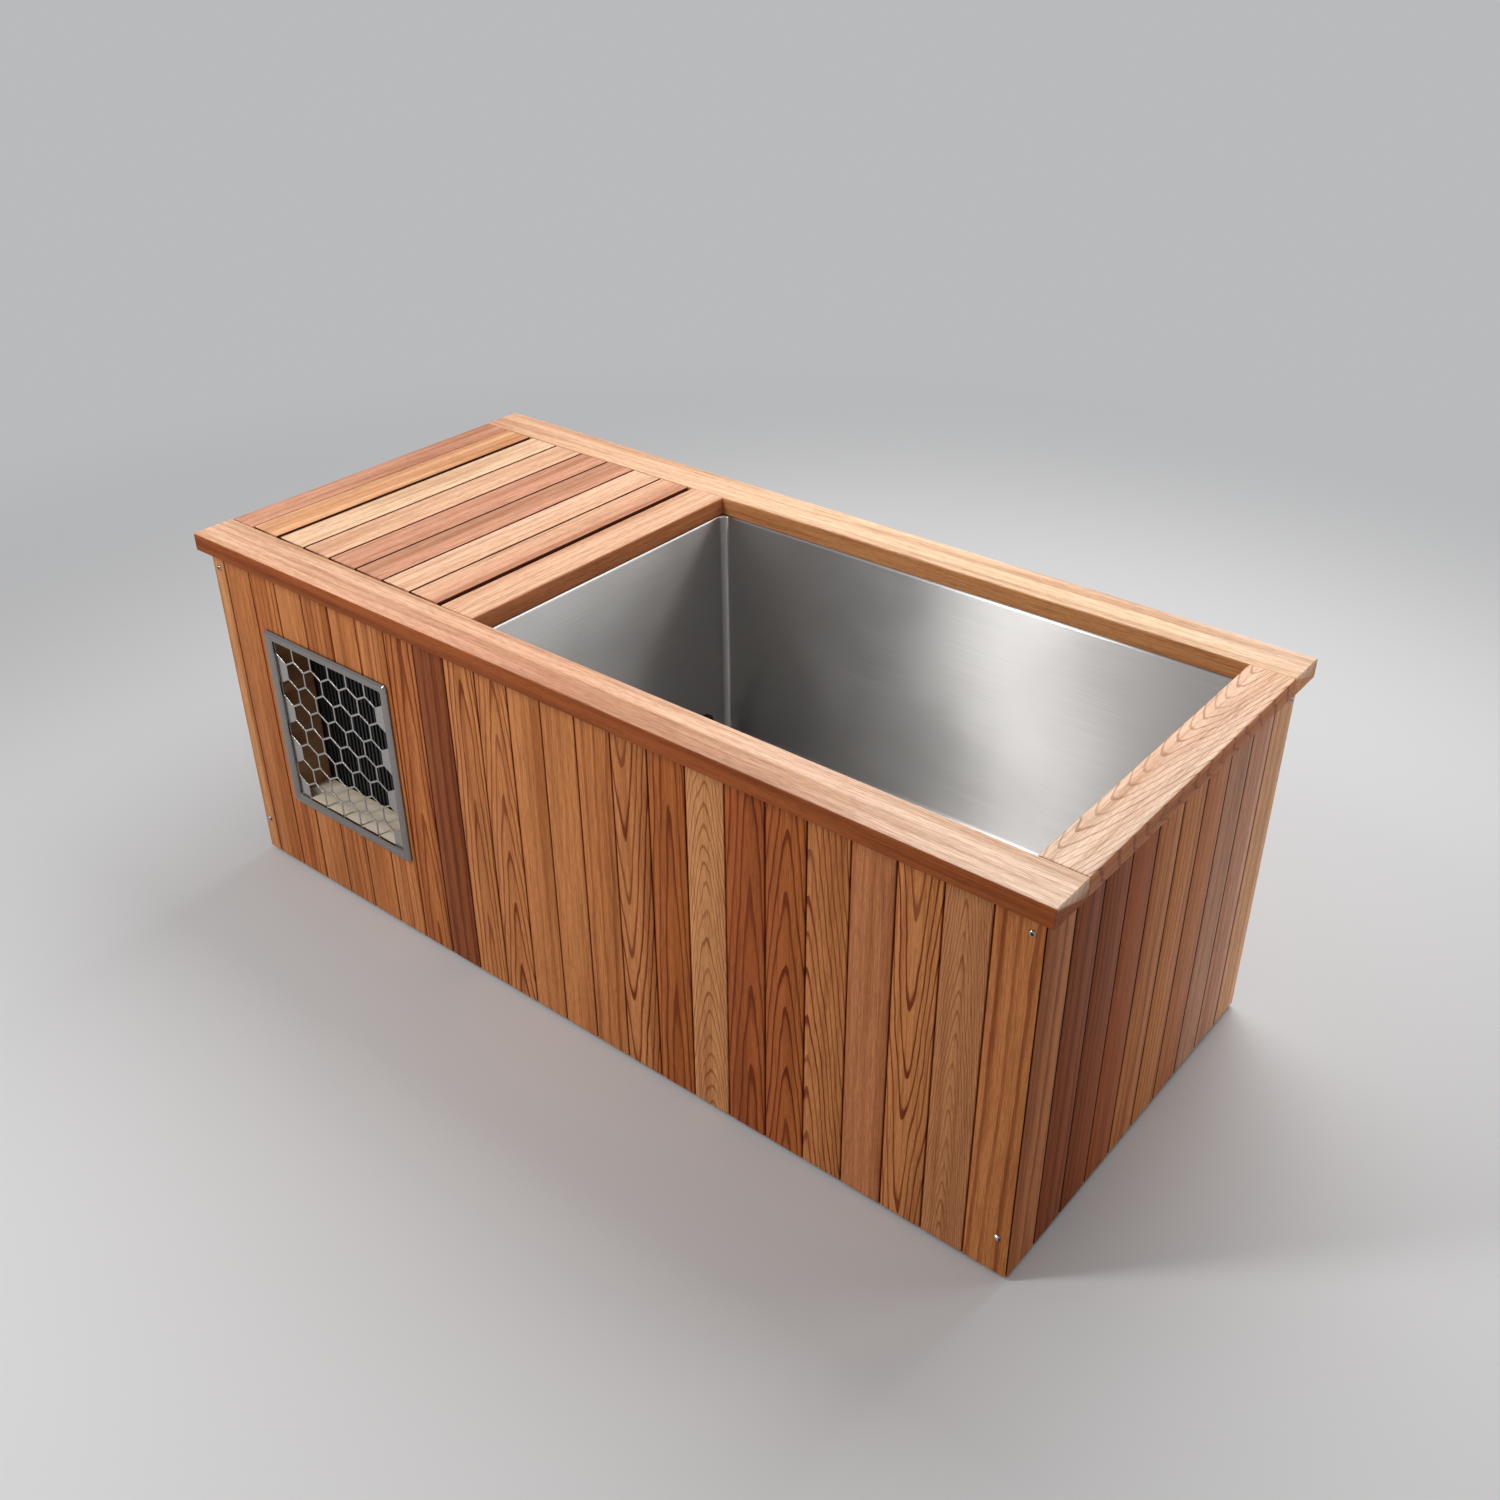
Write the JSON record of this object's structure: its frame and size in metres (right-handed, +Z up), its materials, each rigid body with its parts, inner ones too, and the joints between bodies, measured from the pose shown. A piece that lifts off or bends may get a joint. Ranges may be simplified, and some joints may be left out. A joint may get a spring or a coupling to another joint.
{
  "type": "cold plunge tub",
  "caption": "Free-standing cold plunge tub: brushed steel basin in a cedar-clad timber case with a wide cedar rim, and a chiller bay under a slatted lift-out hatch with a honeycomb vent.",
  "frame": {"origin": "middle of the footprint, on the floor", "axes": "+Z up, +X along the tub from the chiller bay to the basin, -Y out of the front that holds the vent"},
  "size_m": [1.9, 0.86, 0.75],
  "materials": {
    "cedar": "satin clear-coated western red cedar",
    "framing": "sawn softwood",
    "plywood": "sanded plywood",
    "foam": "rigid foam board",
    "stainless": "brushed stainless steel",
    "galvanised": "zinc-coated sheet",
    "aluminium": "bare fins",
    "black_paint": "black stove enamel",
    "black_plastic": "moulded black plastic",
    "grey_plastic": "moulded grey plastic",
    "white_pipe": "white rigid pipe",
    "filter_paper": "pleated filter fleece",
    "brass": "machined brass",
    "red_plastic": "dipped red lever"
  },
  "bodies": {
    "tub": {"cladding_front": "cedar", "cladding_right": "cedar", "cladding_back": "cedar", "cladding_left": "cedar", "rim_front": "cedar", "rim_back": "cedar", "rim_left": "cedar", "rim_right": "cedar", "rim_cross": "cedar", "slat_fixed": "cedar", "vent_duct": "cedar", "sill_front": "framing", "sill_back": "framing", "joist_left": "framing", "joist_bulkhead": "framing", "joist_right": "framing", "post_front_left": "framing", "post_back_left": "framing", "post_front_right": "framing", "post_back_right": "framing", "plate_front": "framing", "plate_back": "framing", "plate_left": "framing", "plate_right": "framing", "ledger_front": "framing", "ledger_back": "framing", "deck": "plywood", "bulkhead": "plywood", "insulation": "foam", "liner": "stainless", "vent_frame": "stainless", "vent_honeycomb": "stainless", "drip_tray": "galvanised", "fan_motor": "galvanised", "condenser_coil": "aluminium", "compressor": "black_paint", "pump": "black_paint", "fan_shroud": "black_plastic", "suction_fitting": "black_plastic", "return_fitting": "black_plastic", "filter_housing": "black_plastic", "heat_exchanger": "grey_plastic", "control_box": "grey_plastic", "pipe_pump_to_filter": "white_pipe", "pipe_filter_to_chiller": "white_pipe", "pipe_return": "white_pipe", "filter_cartridge": "filter_paper", "drain_valve": "brass"},
    "hatch": {"hatch_slat_1": "cedar", "hatch_slat_2": "cedar", "hatch_slat_3": "cedar", "hatch_slat_4": "cedar", "hatch_slat_5": "cedar", "hatch_slat_6": "cedar", "hatch_batten_front": "cedar", "hatch_batten_back": "cedar"},
    "fan": {"fan_rotor": "black_plastic"},
    "lever": {"valve_lever": "red_plastic"},
    "lid": {"filter_lid": "grey_plastic"},
    "rocker": {"power_rocker": "black_plastic"}
  },
  "joints": [
    {"name": "hatch_lift", "type": "slide", "parent": "tub", "child": "hatch", "axis": [0, 0, 1], "range_m": [0, 0.25]},
    {"name": "fan_spin", "type": "hinge", "parent": "tub", "child": "fan", "pos_m": [-0.6097, -0.2621, 0.3874], "axis": [0, 1, 0], "continuous": true},
    {"name": "lever_turn", "type": "hinge", "parent": "tub", "child": "lever", "pos_m": [-0.3489, 0.1437, 0.2818], "axis": [0, 0, 1], "range_deg": [0, 90]},
    {"name": "lid_turn", "type": "hinge", "parent": "tub", "child": "lid", "pos_m": [-0.7767, 0.263, 0.55], "axis": [0, 0, 1], "range_deg": [0, 90]},
    {"name": "rocker_tip", "type": "hinge", "parent": "tub", "child": "rocker", "pos_m": [-0.3339, 0.134, 0.6517], "axis": [0, 1, 0], "range_deg": [-16, 0]}
  ]
}
